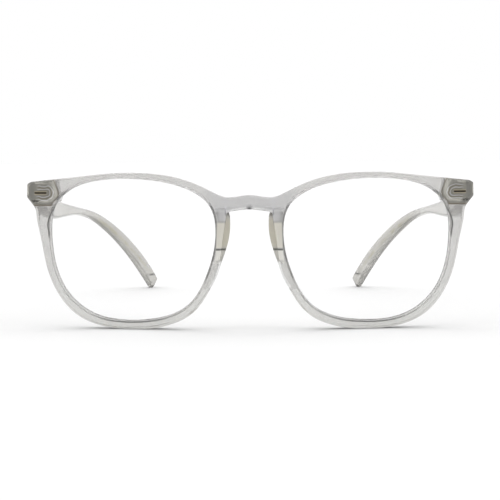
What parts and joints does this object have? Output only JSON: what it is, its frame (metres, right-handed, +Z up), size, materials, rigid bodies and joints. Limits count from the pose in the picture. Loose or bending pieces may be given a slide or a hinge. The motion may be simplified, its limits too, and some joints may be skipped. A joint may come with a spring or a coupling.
{
  "type": "blue light glasses",
  "caption": "Clear-framed full-rim glasses with plain filter lenses, bonded nose pads and temples that fold on screwed barrel hinges.",
  "frame": {"origin": "bottom centre of the whole object's box, on the table that the rims and temple tips stand on, temples open", "axes": "+X to the wearer's left, +Y from the front towards the ears, +Z up"},
  "size_m": [0.1394, 0.1445, 0.0485],
  "materials": {
    "crystal_plastic": "clear injection-moulded plastic, polished",
    "filter_lens": "clear filter lens with a faint coating reflection",
    "soft_pad": "translucent, faintly yellow",
    "hinge_metal": "nickel silver, tumbled",
    "screw_steel": "stainless steel"
  },
  "bodies": {
    "front": {"front_frame": "crystal_plastic", "lens_left": "filter_lens", "lens_right": "filter_lens", "nose_pad_left": "soft_pad", "nose_pad_right": "soft_pad", "front_hinge_left": "hinge_metal", "front_hinge_right": "hinge_metal", "hinge_screw_left": "screw_steel", "hinge_screw_right": "screw_steel"},
    "left_arm": {"temple_left": "crystal_plastic", "temple_hinge_left": "hinge_metal"},
    "right_arm": {"temple_right": "crystal_plastic", "temple_hinge_right": "hinge_metal"}
  },
  "joints": [
    {"name": "left_temple_fold", "type": "hinge", "parent": "front", "child": "left_arm", "pos_m": [0.0634, -0.0516, 0.0422], "axis": [0, 0, 1], "range_deg": [0, 82]},
    {"name": "right_temple_fold", "type": "hinge", "parent": "front", "child": "right_arm", "pos_m": [-0.0634, -0.0516, 0.0422], "axis": [0, 0, -1], "range_deg": [0, 76]}
  ]
}
